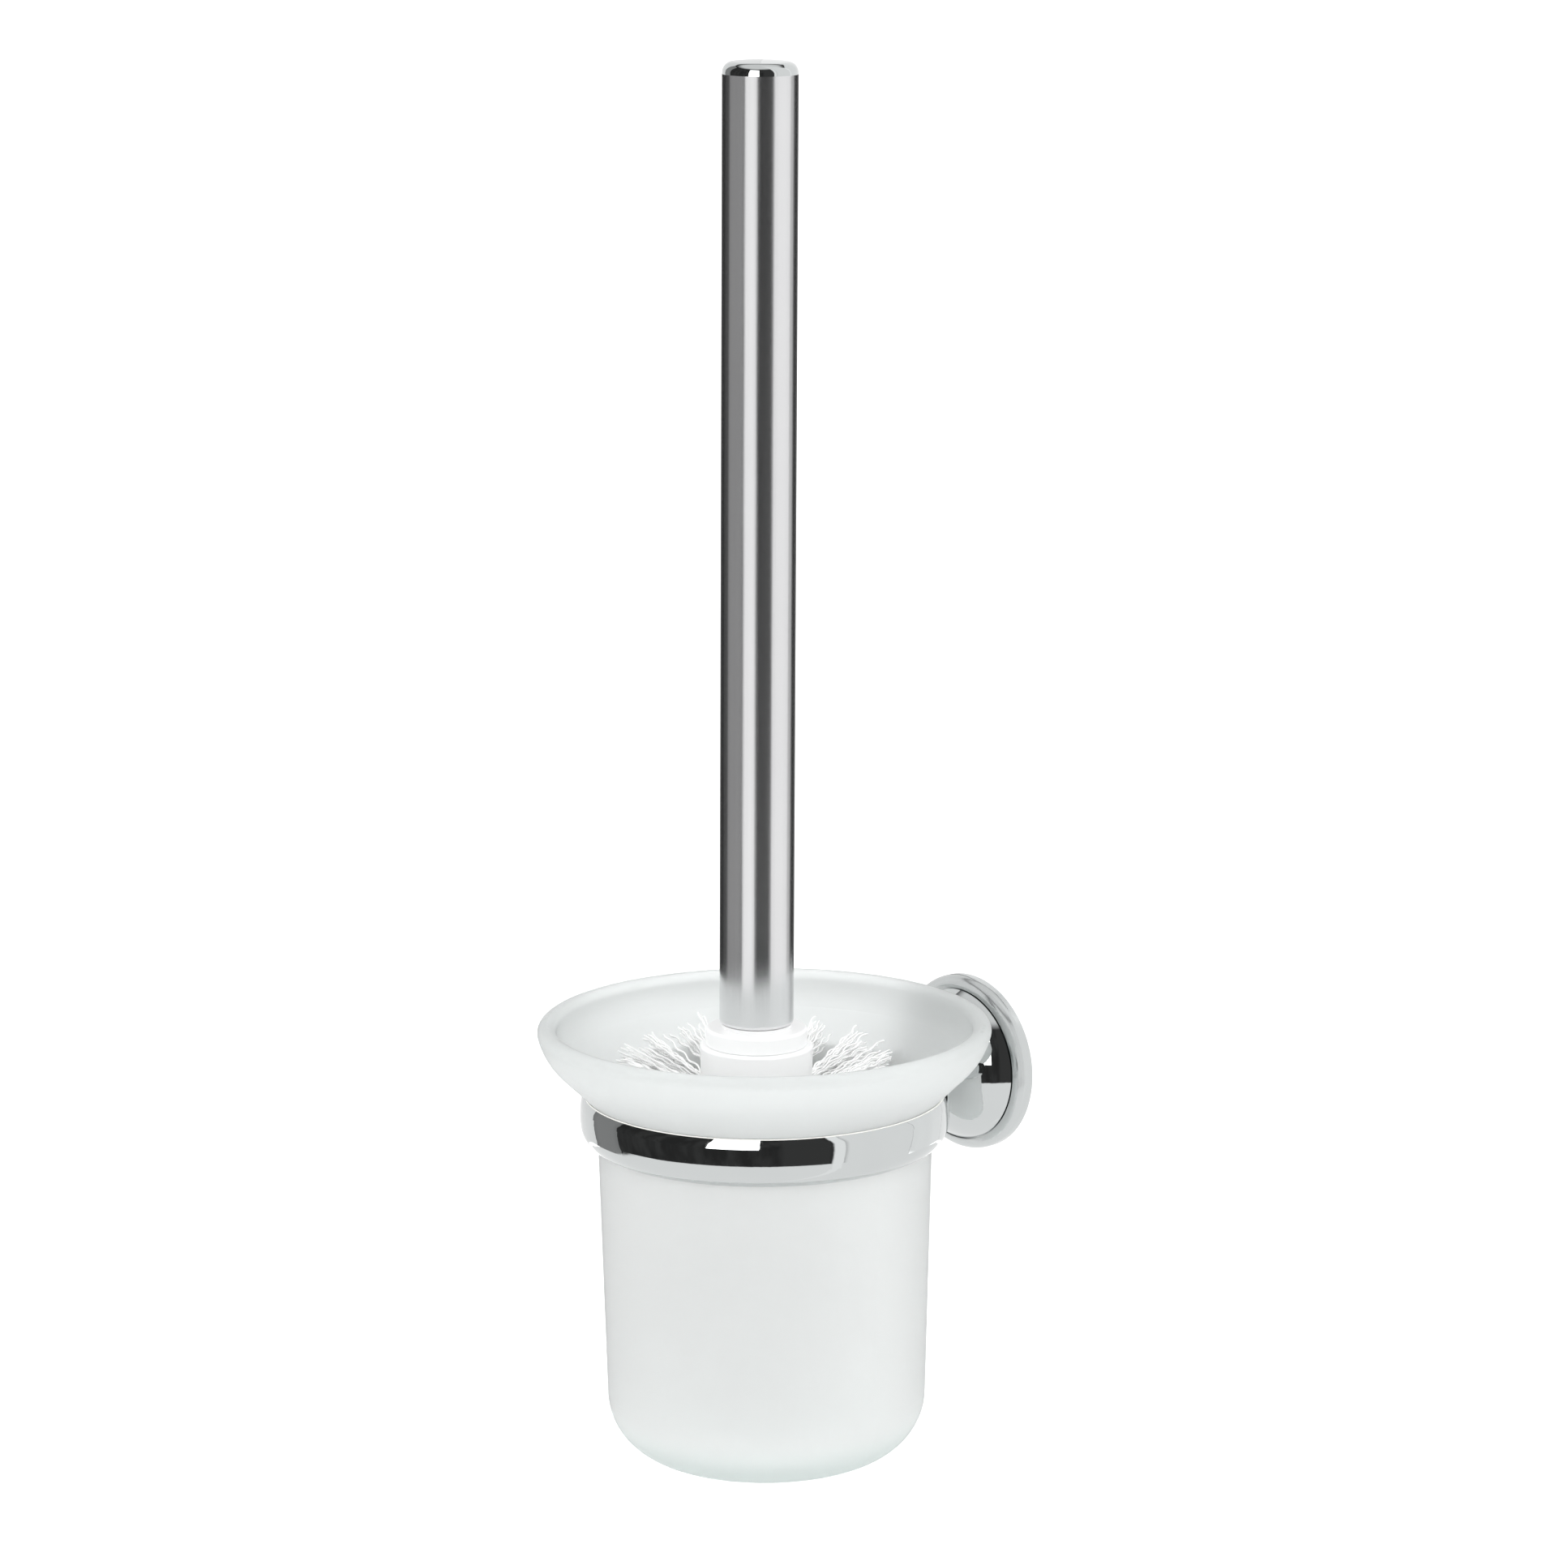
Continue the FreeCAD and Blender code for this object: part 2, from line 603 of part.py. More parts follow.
def make_glass_cup():
    """Frosted glass cup that flares into a shallow dish with a rounded lip."""
    body = new_body("glass_cup")
    inner_top = "cup_top_radius - cup_wall"
    inner_foot = "cup_foot_radius - cup_wall"
    floor = "-cup_depth + cup_floor"
    neck = "cone_end_height - (cone_end - cup_top_radius) * seat_slope"
    inner_cone_x = "cone_end - cup_wall * 0.73"
    inner_cone_y = "cone_end_height + cup_wall * 0.755"
    revolve(body, [
        line_to(0, floor),
        line_to(0, "-cup_depth + foot_recess"),
        line_to("foot_recess_radius", "-cup_depth + foot_recess"),
        line_to("foot_ring_radius", "-cup_depth"),
        line_to("cup_foot_radius - cup_corner", "-cup_depth"),
        arc_to("cup_foot_radius", "-cup_depth + cup_corner", "cup_corner", 1),
        line_to("cup_top_radius", "cup_taper_top"),
        line_to("cup_top_radius", neck),
        line_to("cone_end", "cone_end_height"),
        arc_to("lip_start", "lip_start_height", "dish_round", 1),
        arc_to("lip_centre", "lip_centre_height + lip_round", "lip_round", 1),
        arc_to("lip_centre - lip_round", "lip_centre_height", "lip_round", 1),
        arc_to(inner_cone_x, inner_cone_y, "dish_inner_round", -1),
        line_to("neck_round_radius",
                inner_cone_y + " - (" + inner_cone_x + " - neck_round_radius) * seat_slope"),
        arc_to(inner_top, "neck_round_height", "neck_round", 1),
        line_to(inner_foot, "-cup_depth + cup_floor + cup_inner_corner"),
        arc_to(inner_foot + " - cup_inner_corner", floor, "cup_inner_corner", -1),
    ])
    place_on_ring(body)


# ---------------------------------------------------------------- brush head

def tuft_offset(row):
    """The root of a row's first tuft and the turn of its own axis, in the plane of the brush's axis."""
    root = "end_tuft_root" if row == END_ROW[0] else "tuft_root"
    return (root, row + "_height", row + "_tilt - 90")


def tuft_count(row):
    return "end_tufts" if row == END_ROW[0] else "tufts_per_row"


def tuft_radius(row, length):
    """A tuft's radius at a length from its root."""
    widening = "(tuft_tip_radius - tuft_hole_radius) / (" + row + "_length - tuft_point)"
    return "tuft_hole_radius + " + widening + " * (" + length + ")"


def make_brush_core():
    """Plastic core with a blind hole for the threaded insert and a hole for every tuft."""
    body = new_body("brush_core")
    revolve(body, [
        line_to(0, "core_bottom"),
        line_to("core_radius - core_round", "core_bottom"),
        arc_to("core_radius", "core_bottom + core_round", "core_round", 1),
        line_to("core_radius", "collar_bottom"),
        line_to("insert_radius", "collar_bottom"),
        line_to("insert_radius", "insert_bottom"),
        line_to(0, "insert_bottom"),
    ])
    for row, *_ in BRISTLE_ROWS + [END_ROW]:
        first_hole = groove(body, [
            line_to(0, "0"),
            line_to("tuft_hole_radius", "0"),
            line_to(tuft_radius(row, "tuft_hole_depth"), "tuft_hole_depth"),
            line_to(0, "tuft_hole_depth"),
        ], row + "_hole", offset=tuft_offset(row))
        repeat_around(body, first_hole, tuft_count(row))
    place_on_brush(body)


def make_bristle_row(row):
    """One row of bristle tufts, each widening from its root in the core to its tips."""
    body = new_body(row)
    body.AllowCompound = True
    tuft = revolve(body, [
        line_to(0, "0"),
        line_to("tuft_hole_radius", "0"),
        line_to("tuft_tip_radius", row + "_length - tuft_point"),
        line_to(0, row + "_length"),
    ], offset=tuft_offset(row))
    doc.recompute()
    repeat_around(body, tuft, tuft_count(row))
    place_on_brush(body)


def make_collars():
    """The two white plastic collars between the bristles and the handle."""
    lower = new_body("lower_collar")
    revolve(lower, [
        line_to("insert_radius", "collar_bottom"),
        line_to("lower_collar_foot", "collar_bottom"),
        line_to("lower_collar_radius", "collar_step - collar_round"),
        arc_to("lower_collar_radius - collar_round", "collar_step", "collar_round", 1),
        line_to("insert_radius", "collar_step"),
    ])
    upper = new_body("upper_collar")
    revolve(upper, [
        line_to("insert_radius", "collar_step"),
        line_to("upper_collar_radius - 0.3", "collar_step"),
        line_to("upper_collar_radius", "collar_step + 0.3"),
        line_to("upper_collar_radius", "collar_top - collar_round"),
        arc_to("upper_collar_radius - collar_round", "collar_top", "collar_round", 1),
        line_to("stud_radius + 0.3", "collar_top"),
        line_to("stud_radius + 0.3", "collar_top - 1"),
        line_to("insert_radius", "collar_top - 1"),
    ])
    for body in (lower, upper):
        place_on_brush(body)


def make_threaded_insert():
    """Brass insert, moulded in, that takes the handle's stud."""
    body = new_body("threaded_insert")
    bore = "stud_radius + thread_clearance"
    revolve(body, [
        line_to(bore, "insert_bottom"),
        line_to("insert_radius", "insert_bottom"),
        line_to("insert_radius", "collar_top - 1"),
        line_to(bore, "collar_top - 1"),
    ])
    place_on_brush(body)


# ---------------------------------------------------------------- handle

def make_seal_washer():
    """Soft washer between the tube's end and the upper collar."""
    body = new_body("seal_washer")
    revolve(body, [
        line_to("stud_radius + 0.3", "collar_top"),
        line_to("washer_radius", "collar_top"),
        line_to("washer_radius", "tube_bottom"),
        line_to("stud_radius + 0.3", "tube_bottom"),
    ])
    place_on_brush(body)


def make_handle_tube():
    """Polished tube whose lower end is rolled in."""
    body = new_body("handle_tube")
    bore = "tube_radius - tube_wall"
    revolve(body, [
        line_to("tube_radius - tube_end_lip", "tube_bottom"),
        line_to("tube_radius - tube_end_round", "tube_bottom"),
        arc_to("tube_radius", "tube_bottom + tube_end_round", "tube_end_round", 1),
        line_to("tube_radius", "tube_top"),
        line_to(bore, "tube_top"),
        line_to(bore, "tube_bottom + tube_end_round"),
        line_to("tube_radius - tube_end_lip", "tube_bottom + tube_end_round"),
    ])
    place_on_brush(body)


def make_handle_cap():
    """Low domed cap pressed into the top of the tube."""
    body = new_body("handle_cap")
    plug = "tube_radius - tube_wall"
    top = "tube_top + cap_height"
    revolve(body, [
        line_to(0, "tube_top - plug_length"),
        line_to(plug + " - 0.6", "tube_top - plug_length"),
        line_to(plug, "tube_top - plug_length + 1.5"),
        line_to(plug, "tube_top"),
        line_to("tube_radius", "tube_top"),
        line_to("tube_radius", top + " - cap_crown - cap_round"),
        arc_to("tube_radius - cap_round", top + " - cap_crown", "cap_round", 1),
        arc_to(0, top, "((tube_radius - cap_round)^2 + cap_crown^2) / (2 * cap_crown)", 1),
    ])
    place_on_brush(body)


def make_tube_plug():
    """Threaded plug pressed into the tube's lower end, holding the stud."""
    body = new_body("tube_plug")
    revolve(body, [
        line_to("stud_radius", "tube_bottom + tube_end_round"),
        line_to("tube_radius - tube_wall", "tube_bottom + tube_end_round"),
        line_to("tube_radius - tube_wall", "tube_bottom + plug_length"),
        line_to("stud_radius", "tube_bottom + plug_length"),
    ])
    place_on_brush(body)


def make_threaded_stud():
    """Stud fixed in the plug, which screws into the brush head."""
    body = new_body("threaded_stud")
    revolve(body, [
        line_to(0, "stud_bottom"),
        line_to("stud_radius - stud_chamfer", "stud_bottom"),
        line_to("stud_radius", "stud_bottom + stud_chamfer"),
        line_to("stud_radius", "tube_bottom + plug_length"),
        line_to(0, "tube_bottom + plug_length"),
    ])
    place_on_brush(body)


# ---------------------------------------------------------------- build, check and write

def make_everything():
    make_wall_plate()
    make_rosette_rim()
    make_rosette_dome()
    make_grub_screw()
    make_arm_screw()
    ring = make_holder_ring()
    make_arm(ring)
    make_ring_screw()
    make_ring_liner()
    make_glass_cup()
    make_brush_core()
    for row, *_ in BRISTLE_ROWS + [END_ROW]:
        make_bristle_row(row)
    make_collars()
    make_threaded_insert()
    make_seal_washer()
    make_handle_tube()
    make_handle_cap()
    make_tube_plug()
    make_threaded_stud()


def sub_parts():
    """Every finished piece: the bodies, with the cut arm in place of its blank."""
    pieces = [item for item in doc.Objects
              if item.TypeId == "PartDesign::Body" and item.Label != "arm_blank"]
    return pieces + [doc.getObject("arm")]


def check_and_write():
    doc.recompute()
    for item in doc.Objects:
        if "Invalid" in item.State or "Error" in item.State:
            raise RuntimeError(item.Label + " failed: " + str(item.State))
    pieces = sub_parts()
    for item in pieces:
        if item.Shape.isNull() or not item.Shape.isValid() or not item.Shape.Solids:
            raise RuntimeError(item.Label + " has no valid solid")
    os.makedirs("parts", exist_ok=True)
    for item in pieces:
        item.Shape.exportStep("parts/" + item.Label + ".step")
        print("%-18s %2d solid(s) %10.1f mm3" % (item.Label, len(item.Shape.Solids), item.Shape.Volume))


make_everything()
check_and_write()
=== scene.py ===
import math
import random

import bpy
from mathutils import Matrix, Vector


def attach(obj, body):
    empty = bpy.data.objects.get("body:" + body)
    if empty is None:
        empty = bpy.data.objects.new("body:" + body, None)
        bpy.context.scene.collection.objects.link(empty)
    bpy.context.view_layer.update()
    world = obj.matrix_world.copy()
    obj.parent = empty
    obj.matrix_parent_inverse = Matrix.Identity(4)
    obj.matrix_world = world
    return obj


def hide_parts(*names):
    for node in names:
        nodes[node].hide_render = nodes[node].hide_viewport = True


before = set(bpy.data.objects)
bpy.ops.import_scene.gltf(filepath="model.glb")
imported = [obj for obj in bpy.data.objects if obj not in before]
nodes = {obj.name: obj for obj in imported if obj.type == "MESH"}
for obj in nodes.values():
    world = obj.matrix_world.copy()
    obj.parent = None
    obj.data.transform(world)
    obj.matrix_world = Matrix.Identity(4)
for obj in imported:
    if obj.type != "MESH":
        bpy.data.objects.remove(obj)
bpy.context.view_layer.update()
scene = bpy.context.scene

# ---------------------------------------------------------------- camera

RING_AXIS_Y = -0.0855
VIEW_AZIMUTH = math.radians(47.5)
CAMERA_SIDE = 0.00619
CAMERA_DISTANCE = 1.51304
CAMERA_HEIGHT = 0.41815
CAMERA_PITCH = math.radians(11.77)
CAMERA_ROLL = math.radians(0.285)
SENSOR_WIDTH = 36.0
FOCAL_LENGTH = 121.0
CLIP_NEAR = 0.05
CLIP_FAR = 50

UP = Vector((0, 0, 1))
ACROSS = Vector((math.cos(VIEW_AZIMUTH), math.sin(VIEW_AZIMUTH), 0))
AWAY = UP.cross(ACROSS)
RING_CENTRE = Vector((0, RING_AXIS_Y, 0))


def make_camera():
    """Camera in front of the object and to the right of the wall's normal, a little above it."""
    place = RING_CENTRE + CAMERA_SIDE * ACROSS - CAMERA_DISTANCE * AWAY + CAMERA_HEIGHT * UP
    forward = AWAY * math.cos(CAMERA_PITCH) - UP * math.sin(CAMERA_PITCH)
    level_up = ACROSS.cross(forward)
    right = ACROSS * math.cos(CAMERA_ROLL) - level_up * math.sin(CAMERA_ROLL)
    up = right.cross(forward)
    data = bpy.data.cameras.new("camera")
    data.sensor_width = SENSOR_WIDTH
    data.lens = FOCAL_LENGTH
    data.clip_start, data.clip_end = CLIP_NEAR, CLIP_FAR
    camera = bpy.data.objects.new("camera", data)
    turn = Matrix((right, up, -forward)).transposed()
    camera.matrix_world = Matrix.Translation(place) @ turn.to_4x4()
    scene.collection.objects.link(camera)
    scene.camera = camera


# ---------------------------------------------------------------- shader nodes

class Shader:
    """A node tree with short calls for the nodes that this scene uses."""

    def __init__(self, tree):
        self.tree = tree

    def node(self, kind, **settings):
        made = self.tree.nodes.new(kind)
        for name, setting in settings.items():
            setattr(made, name, setting)
        return made

    def link(self, source, target):
        if isinstance(source, (int, float)):
            target.default_value = source
        elif isinstance(source, tuple):
            target.default_value = source if len(source) == 4 else (*source, 1.0)
        else:
            self.tree.links.new(source, target)

    def math(self, operation, *values):
        made = self.node("ShaderNodeMath", operation=operation)
        for value, socket in zip(values, made.inputs):
            self.link(value, socket)
        return made.outputs[0]

    def ramp(self, value, low, high, to_low=0.0, to_high=1.0):
        """A smooth step from to_low to to_high while the value goes from low to high."""
        made = self.node("ShaderNodeMapRange", clamp=True, interpolation_type="SMOOTHSTEP")
        for socket, number in zip(made.inputs[:5], (value, low, high, to_low, to_high)):
            self.link(number, socket)
        return made.outputs[0]

    def mix(self, factor, first, second):
        made = self.node("ShaderNodeMix", data_type="RGBA")
        self.link(factor, made.inputs[0])
        self.link(first, made.inputs[6])
        self.link(second, made.inputs[7])
        return made.outputs[2]

    def noise(self, vector, scale, detail=2.0, roughness=0.5, stretch=None):
        if stretch:
            mapping = self.node("ShaderNodeMapping")
            self.link(vector, mapping.inputs[0])
            mapping.inputs["Scale"].default_value = stretch
            vector = mapping.outputs[0]
        made = self.node("ShaderNodeTexNoise")
        self.link(vector, made.inputs["Vector"])
        made.inputs["Scale"].default_value = scale
        made.inputs["Detail"].default_value = detail
        made.inputs["Roughness"].default_value = roughness
        return made.outputs[0]

    def bump(self, height, strength, distance):
        made = self.node("ShaderNodeBump")
        made.inputs["Strength"].default_value = strength
        made.inputs["Distance"].default_value = distance
        self.link(height, made.inputs["Height"])
        return made.outputs[0]


def new_material(name, **constants):
    """A Principled material with constant sockets set; returns it, its shader and its sockets."""
    material = bpy.data.materials.new(name)
    material.use_nodes = True
    shader = Shader(material.node_tree)
    principled = material.node_tree.nodes["Principled BSDF"]
    for socket, value in constants.items():
        principled.inputs[socket.replace("_", " ")].default_value = value
    return material, shader, principled.inputs


def object_place(shader):
    return shader.node("ShaderNodeTexCoord").outputs["Object"]


# ---------------------------------------------------------------- materials

# Heights on the cup, as shares of its box: the bend above its foot, below which the glass is drawn
# darker and greener, and the start of its dish, above which the glass colour is darkened as painted
# shade.
GLASS_FOOT_BEND = (0.02, 0.13)
GLASS_DISH_START = (0.78, 0.90)
GLASS_FOOT_COLOUR = (0.78, 0.86, 0.84)
# Painted shade: the glass of the dish is given a darker colour than the body.
GLASS_DISH_PAINTED_SHADE_COLOUR = (0.925, 0.95, 0.945)
PLASTIC_ROUGHNESS_RANGE = 0.04
METAL_ROUGHNESS_RANGE = 0.06


def chrome_material(name, roughness_low, roughness_high, peel):
    """Bright chrome plate: a faint haze of wiping marks and a very slight orange peel."""
    material, s, sockets = new_material(name, Metallic=1.0)
    place = object_place(s)
    haze = s.noise(place, 60.0, detail=3.0)
    s.link(s.mix(haze, (0.60, 0.62, 0.62), (0.64, 0.66, 0.66)), sockets["Base Color"])
    marks = s.noise(place, 900.0, detail=2.0, stretch=(1.0, 1.0, 0.2))
    s.link(s.ramp(marks, 0.35, 0.75, roughness_low, roughness_high), sockets["Roughness"])
    s.link(s.bump(s.noise(place, 350.0), peel, 0.0002), sockets["Normal"])
    return material


def tube_material():
    """Polished drawn tube: softer reflections than the plated parts, with fine lines along it."""
    material, s, sockets = new_material("polished_tube", Metallic=1.0)
    place = object_place(s)
    lines = s.noise(place, 4200.0, detail=2.0, stretch=(1.0, 1.0, 0.004))
    cloud = s.noise(place, 35.0, detail=3.0)
    s.link(s.mix(cloud, (0.74, 0.74, 0.75), (0.79, 0.79, 0.795)), sockets["Base Color"])
    s.link(s.ramp(lines, 0.3, 0.7, 0.19, 0.22), sockets["Roughness"])
    s.link(s.bump(lines, 0.015, 0.0001), sockets["Normal"])
    return material


def glass_material():
    """Acid-etched glass: fine matt grain, slightly cloudy, faintly green; darker and greener
    towards the foot, with painted shade darkening its dish.
    """
    material, s, sockets = new_material(
        "frosted_glass", IOR=1.5, Transmission_Weight=0.56)
    place = object_place(s)
    cloud = s.mix(s.noise(place, 40.0, detail=3.0), (0.965, 0.985, 0.98), (0.98, 0.995, 0.99))
    share = s.node("ShaderNodeSeparateXYZ")
    s.link(s.node("ShaderNodeTexCoord").outputs["Generated"], share.inputs[0])
    above_foot = s.ramp(share.outputs[2], *GLASS_FOOT_BEND)
    body = s.mix(above_foot, GLASS_FOOT_COLOUR, cloud)
    # Painted shade: above the start of the dish the colour turns to the darker dish colour.
    dish_painted_shade = s.ramp(share.outputs[2], *GLASS_DISH_START)
    s.link(s.mix(dish_painted_shade, body, GLASS_DISH_PAINTED_SHADE_COLOUR), sockets["Base Color"])
    grain = s.noise(place, 2600.0, detail=3.0, roughness=0.65)
    s.link(s.ramp(grain, 0.3, 0.7, 0.42, 0.52), sockets["Roughness"])
    s.link(s.bump(grain, 0.10, 0.00005), sockets["Normal"])
    return material


def plastic_material(name, low, high, roughness, grain_depth):
    """Satin moulded plastic with slight mottling and a fine mould texture."""
    material, s, sockets = new_material(name, IOR=1.49)
    place = object_place(s)
    s.link(s.mix(s.noise(place, 90.0, detail=3.0), low, high), sockets["Base Color"])
    grain = s.noise(place, 2200.0, detail=2.0)
    s.link(s.ramp(grain, 0.3, 0.7, roughness - PLASTIC_ROUGHNESS_RANGE,
                  roughness + PLASTIC_ROUGHNESS_RANGE), sockets["Roughness"])
    s.link(s.bump(grain, 0.12, grain_depth), sockets["Normal"])
    return material


def metal_material(name, low, high, roughness, lines):
    """Turned or cast metal of the hidden fittings: tool marks across it."""
    material, s, sockets = new_material(name, Metallic=1.0)
    place = object_place(s)
    marks = s.noise(place, lines, detail=3.0, stretch=(0.15, 0.15, 1.0))
    s.link(s.mix(marks, low, high), sockets["Base Color"])
    s.link(s.ramp(marks, 0.3, 0.7, roughness - METAL_ROUGHNESS_RANGE,
                  roughness + METAL_ROUGHNESS_RANGE), sockets["Roughness"])
    s.link(s.bump(marks, 0.2, 0.00003), sockets["Normal"])
    return material


def bristle_material():
    """White crimped nylon: soft sheen, slightly uneven from fibre to fibre."""
    material, s, sockets = new_material("bristle_nylon", IOR=1.53, Roughness=0.42)
    place = object_place(s)
    s.link(s.mix(s.noise(place, 700.0, detail=2.0), (0.965, 0.97, 0.97), (0.995, 0.995, 0.99)),
           sockets["Base Color"])
    s.link(s.bump(s.noise(place, 3000.0), 0.1, 0.00003), sockets["Normal"])
    return material


NODE_MATERIALS = {
    "chrome": ["rosette_dome", "arm", "holder_ring", "handle_cap"],
    "rim_chrome": ["rosette_rim"],
    "polished_tube": ["handle_tube"],
    "frosted_glass": ["glass_cup"],
    "white_plastic": ["brush_core", "lower_collar", "upper_collar"],
    "liner_plastic": ["ring_liner"],
    "washer_rubber": ["seal_washer"],
    "insert_brass": ["threaded_insert", "tube_plug"],
    "fastener_steel": ["grub_screw", "arm_screw", "ring_screw", "threaded_stud"],
    "zinc_plate": ["wall_plate"],
}


def make_materials():
    """Makes every material and gives the CAD nodes theirs; returns them by slot name."""
    made = {
        "chrome": chrome_material("chrome", 0.015, 0.05, 0.03),
        "rim_chrome": chrome_material("rim_chrome", 0.19, 0.22, 0.01),
        "polished_tube": tube_material(),
        "frosted_glass": glass_material(),
        "white_plastic": plastic_material(
            "white_plastic", (0.87, 0.875, 0.875), (0.90, 0.905, 0.905), 0.38, 0.00004),
        "liner_plastic": plastic_material(
            "liner_plastic", (0.88, 0.88, 0.84), (0.92, 0.92, 0.88), 0.30, 0.00003),
        "washer_rubber": plastic_material(
            "washer_rubber", (0.84, 0.84, 0.84), (0.88, 0.88, 0.88), 0.55, 0.00006),
        "insert_brass": metal_material(
            "insert_brass", (0.62, 0.45, 0.18), (0.76, 0.58, 0.28), 0.32, 900.0),
        "fastener_steel": metal_material(
            "fastener_steel", (0.48, 0.48, 0.49), (0.62, 0.62, 0.63), 0.34, 900.0),
        "zinc_plate": metal_material(
            "zinc_plate", (0.52, 0.53, 0.55), (0.64, 0.65, 0.66), 0.45, 400.0),
        "bristle_nylon": bristle_material(),
    }
    for slot, names in NODE_MATERIALS.items():
        for name in names:
            materials = nodes[name].data.materials
            materials.clear()
            materials.append(made[slot])
    return made


# ---------------------------------------------------------------- bristles

BRUSH_HEADING = math.radians(47.5)
BRUSH_LEAN = math.radians(0.563)
BRUSH_SHIFT = 0.00258
TUFT_ROOT = 0.0075
END_TUFT_ROOT = 0.0040
TUFTS_PER_ROW = 13
END_TUFTS = 8
# row, height of the roots, upward tilt in degrees, length of the tufts
BRISTLE_ROWS = [
    ("bristle_row_1", -0.0740, -14.0, 0.0290),
    ("bristle_row_2", -0.0630, -2.0, 0.0310),
    ("bristle_row_3", -0.0520, 4.0, 0.0310),
    ("bristle_row_4", -0.0410, 6.0, 0.0295),
    ("bristle_row_5", -0.0300, 8.0, 0.0280),
    ("bristle_row_6", -0.0190, 11.0, 0.0280),
    ("bristle_row_7", -0.0080, 15.0, 0.0295),
    ("bristle_row_top", 0.0015, 24.0, 0.0375),
    ("bristle_end_row", -0.0765, -52.0, 0.0225),
]
FIBRES_PER_TUFT = 18
TOP_ROW_FIBRES = 34
FIBRE_RADIUS = 0.00029
FIBRE_SIDES = 5
FULL_TUFT = 0.0375
CRIMP_LENGTH = 0.0057
CRIMP_DEPTH = 0.00042
CRIMP_STEPS = 6
ROOT_SPREAD = 0.0009
TIP_SPREAD = 0.0050
FIBRE_BEND = 0.0028
FIBRE_DROOP = 0.0028
ROOT_HIDDEN = 0.0020
LENGTH_SPREAD = (0.86, 1.0)
FAN_POWER = 1.3
CRIMP_GROWTH = 4
FEWEST_STEPS = 6
END_TAPER = 0.8
NEARLY_PARALLEL = 0.95
BRISTLE_SEED = 7


def brush_turn():
    """Rotation of the leaning brush and the point of its axis at the height of the ring."""
    lean_axis = Vector((-math.sin(BRUSH_HEADING), math.cos(BRUSH_HEADING), 0))
    heading = Vector((math.cos(BRUSH_HEADING), math.sin(BRUSH_HEADING), 0))
    return Matrix.Rotation(BRUSH_LEAN, 3, lean_axis), RING_CENTRE - BRUSH_SHIFT * heading


def fibre_path(rng, root, along, side, other, length):
    """Points of one crimped fibre: it fans out from the tuft and waves in a plane of its own."""
    spin = rng.uniform(0, 2 * math.pi)
    reach = math.sqrt(rng.random())
    fan = side * math.cos(spin) + other * math.sin(spin)
    wave_turn = rng.uniform(0, 2 * math.pi)
    wave = side * math.cos(wave_turn) + other * math.sin(wave_turn)
    phase = rng.uniform(0, 2 * math.pi)
    depth = CRIMP_DEPTH * rng.uniform(0.7, 1.25)
    pitch = CRIMP_LENGTH * rng.uniform(0.88, 1.12)
    cut = length * rng.uniform(*LENGTH_SPREAD)
    bend_turn = rng.uniform(0, 2 * math.pi)
    bend = (side * math.cos(bend_turn) + other * math.sin(bend_turn)) * rng.uniform(0, FIBRE_BEND)
    bend -= UP * rng.uniform(0, FIBRE_DROOP)
    tip_spread = TIP_SPREAD * length / FULL_TUFT
    steps = max(FEWEST_STEPS, round(cut / pitch * CRIMP_STEPS))
    points = []
    for step in range(steps + 1):
        share = step / steps
        far = ROOT_HIDDEN + share * (cut - ROOT_HIDDEN)
        spread = reach * (ROOT_SPREAD + (tip_spread - ROOT_SPREAD) * share ** FAN_POWER)
        swing = depth * min(1.0, share * CRIMP_GROWTH) * math.sin(phase + 2 * math.pi * far / pitch)
        points.append(root + along * far + fan * spread + bend * share ** 2 + wave * swing)
    return points


def add_tube(vertices, faces, points, radius, sides):
    """A closed round tube along the points, with a slightly narrowed end."""
    first = len(vertices)
    lean = Vector((0, 0, 1))
    for number, point in enumerate(points):
        ahead = points[min(number + 1, len(points) - 1)] - points[max(number - 1, 0)]
        ahead.normalize()
        if abs(ahead.dot(lean)) > NEARLY_PARALLEL:
            lean = Vector((1, 0, 0))
        across = ahead.cross(lean).normalized()
        lean = across.cross(ahead)
        size = radius * (END_TAPER if number == len(points) - 1 else 1.0)
        for corner in range(sides):
            turn = 2 * math.pi * corner / sides
            vertices.append(point + size * (across * math.cos(turn) + lean * math.sin(turn)))
    for number in range(len(points) - 1):
        base = first + number * sides
        for corner in range(sides):
            after = (corner + 1) % sides
            faces.append((base + corner, base + after, base + sides + after, base + sides + corner))
    last = first + (len(points) - 1) * sides
    faces.append(tuple(first + corner for corner in reversed(range(sides))))
    faces.append(tuple(last + corner for corner in range(sides)))


